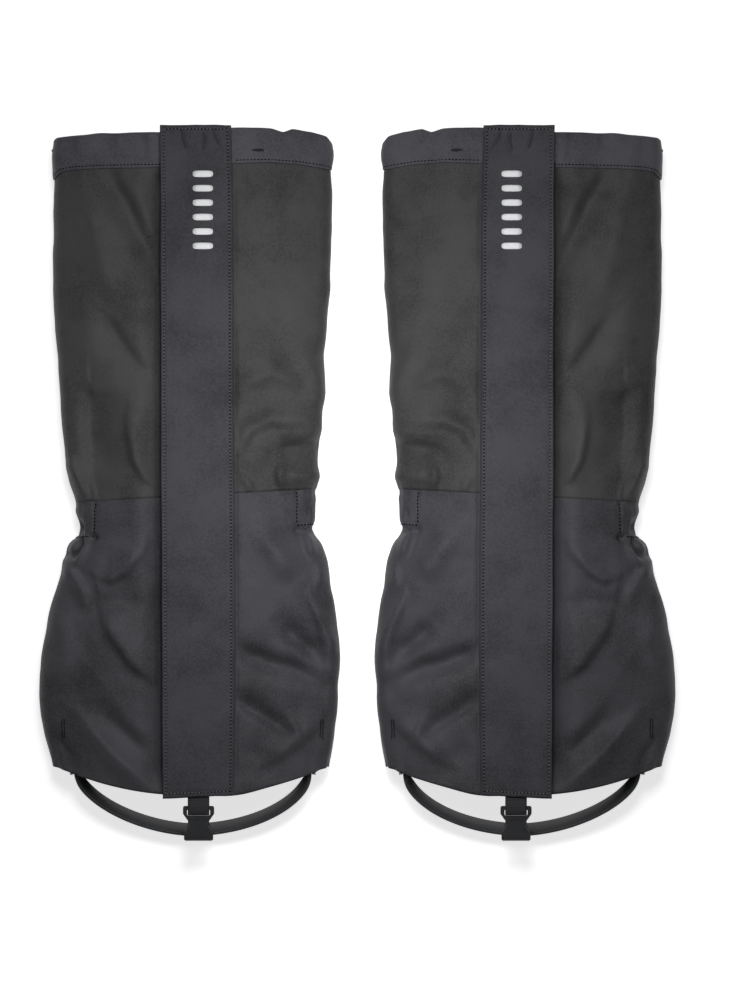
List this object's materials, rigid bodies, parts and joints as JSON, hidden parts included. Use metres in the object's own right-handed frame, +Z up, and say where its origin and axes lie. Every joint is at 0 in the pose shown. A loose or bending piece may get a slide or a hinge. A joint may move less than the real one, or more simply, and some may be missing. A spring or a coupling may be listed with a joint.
{
  "type": "pair of gaiters",
  "caption": "Pair of knee-high fabric hiking gaiters laid flat, with full-length front flap, cuff drawcord, gathered ankle, lace hook and underfoot strap.",
  "frame": {"origin": "bottom centre of the pair's bounding box, on the surface it lies on", "axes": "+Y towards the knee ends, +Z up, out of the front flaps, +X towards the right gaiter of the view from above"},
  "size_m": [0.4232, 0.4772, 0.0422],
  "materials": {
    "shin_fabric": "matte",
    "boot_fabric": "matte",
    "flap_fabric": "matte",
    "lining_fabric": "matte",
    "elastic": "matte",
    "fastener_tape": "matte",
    "webbing": "matte",
    "print": "satin",
    "hook_metal": "satin",
    "steel": "satin",
    "strap_rubber": "satin",
    "lock_plastic": "satin",
    "cord": "matte"
  },
  "bodies": {
    "left_gaiter": {"left_upper_panel": "shin_fabric", "left_lower_panel": "boot_fabric", "left_top_cuff": "flap_fabric", "left_cuff_eyelet": "lock_plastic", "left_ankle_elastic": "elastic", "left_ankle_casing": "lining_fabric", "left_hem_facing": "lining_fabric", "left_loop_tape": "fastener_tape", "left_hook_webbing_sewn": "webbing", "left_anchor_tab_outer": "webbing", "left_anchor_tab_inner": "webbing", "left_anchor_patch_outer": "boot_fabric", "left_anchor_patch_inner": "boot_fabric", "left_strap_post_barrels": "steel", "left_strap_post_screws": "steel", "left_drawcord": "cord", "left_cord_end_clip": "lock_plastic"},
    "left_flap": {"left_hook_tape": "fastener_tape", "left_flap_lining": "lining_fabric", "left_flap_outer": "flap_fabric", "left_reflective_print": "print"},
    "left_hook_tab": {"left_hook_webbing_loop": "webbing"},
    "left_lace_hook": {"left_lace_hook": "hook_metal"},
    "left_strap": {"left_underfoot_strap": "strap_rubber"},
    "left_cord_lock": {"left_cord_lock_barrel": "lock_plastic", "left_cord_lock_spring": "steel"},
    "left_lock_plunger": {"left_cord_lock_plunger": "lock_plastic"},
    "right_gaiter": {"right_upper_panel": "shin_fabric", "right_lower_panel": "boot_fabric", "right_top_cuff": "flap_fabric", "right_cuff_eyelet": "lock_plastic", "right_ankle_elastic": "elastic", "right_ankle_casing": "lining_fabric", "right_hem_facing": "lining_fabric", "right_loop_tape": "fastener_tape", "right_hook_webbing_sewn": "webbing", "right_anchor_tab_outer": "webbing", "right_anchor_tab_inner": "webbing", "right_anchor_patch_outer": "boot_fabric", "right_anchor_patch_inner": "boot_fabric", "right_strap_post_barrels": "steel", "right_strap_post_screws": "steel", "right_drawcord": "cord", "right_cord_end_clip": "lock_plastic"},
    "right_flap": {"right_hook_tape": "fastener_tape", "right_flap_lining": "lining_fabric", "right_flap_outer": "flap_fabric", "right_reflective_print": "print"},
    "right_hook_tab": {"right_hook_webbing_loop": "webbing"},
    "right_lace_hook": {"right_lace_hook": "hook_metal"},
    "right_strap": {"right_underfoot_strap": "strap_rubber"},
    "right_cord_lock": {"right_cord_lock_barrel": "lock_plastic", "right_cord_lock_spring": "steel"},
    "right_lock_plunger": {"right_cord_lock_plunger": "lock_plastic"}
  },
  "joints": [
    {"name": "left_flap_hinge", "type": "hinge", "parent": "left_gaiter", "child": "left_flap", "pos_m": [-0.0829, 0, 0.0402], "axis": [0, 1, 0], "range_deg": [0, 165]},
    {"name": "left_hook_tab_hinge", "type": "hinge", "parent": "left_gaiter", "child": "left_hook_tab", "pos_m": [-0.1058, -0.2082, 0.0395], "axis": [-1, 0, 0], "range_deg": [-5, 25], "stiffness_Nm_per_rad": 0.02},
    {"name": "left_lace_hook_swing", "type": "hinge", "parent": "left_hook_tab", "child": "left_lace_hook", "pos_m": [-0.1058, -0.21651, 0.03773], "axis": [-1, 0, 0], "range_deg": [-8, 110], "stiffness_Nm_per_rad": 0.02},
    {"name": "left_strap_swivel", "type": "hinge", "parent": "left_gaiter", "child": "left_strap", "pos_m": [-0.1099, -0.19, 0.018], "axis": [-1, 0, 0], "range_deg": [0, 18]},
    {"name": "left_cord_lock_slide", "type": "slide", "parent": "left_gaiter", "child": "left_cord_lock", "axis": [0, 1, 0], "range_m": [-0.011, 0.003]},
    {"name": "left_plunger_press", "type": "slide", "parent": "left_cord_lock", "child": "left_lock_plunger", "axis": [-1, 0, 0], "range_m": [0, 0.002], "stiffness_N_per_m": 500, "springref_m": -0.001, "deforming": ["left_cord_lock_spring"]},
    {"name": "right_flap_hinge", "type": "hinge", "parent": "right_gaiter", "child": "right_flap", "pos_m": [0.0829, 0, 0.0402], "axis": [0, -1, 0], "range_deg": [0, 165]},
    {"name": "right_hook_tab_hinge", "type": "hinge", "parent": "right_gaiter", "child": "right_hook_tab", "pos_m": [0.1058, -0.2082, 0.0395], "axis": [-1, 0, 0], "range_deg": [-5, 25], "stiffness_Nm_per_rad": 0.02},
    {"name": "right_lace_hook_swing", "type": "hinge", "parent": "right_hook_tab", "child": "right_lace_hook", "pos_m": [0.1058, -0.21651, 0.03773], "axis": [-1, 0, 0], "range_deg": [-8, 110], "stiffness_Nm_per_rad": 0.02},
    {"name": "right_strap_swivel", "type": "hinge", "parent": "right_gaiter", "child": "right_strap", "pos_m": [0.1099, -0.19, 0.018], "axis": [-1, 0, 0], "range_deg": [0, 18]},
    {"name": "right_cord_lock_slide", "type": "slide", "parent": "right_gaiter", "child": "right_cord_lock", "axis": [0, 1, 0], "range_m": [-0.011, 0.003]},
    {"name": "right_plunger_press", "type": "slide", "parent": "right_cord_lock", "child": "right_lock_plunger", "axis": [1, 0, 0], "range_m": [0, 0.002], "stiffness_N_per_m": 500, "springref_m": -0.001, "deforming": ["right_cord_lock_spring"]},
    {"name": "right_gaiter_lift", "type": "slide", "parent": "left_gaiter", "child": "right_gaiter", "axis": [0, 0, 1], "range_m": [0, 0.3]}
  ]
}
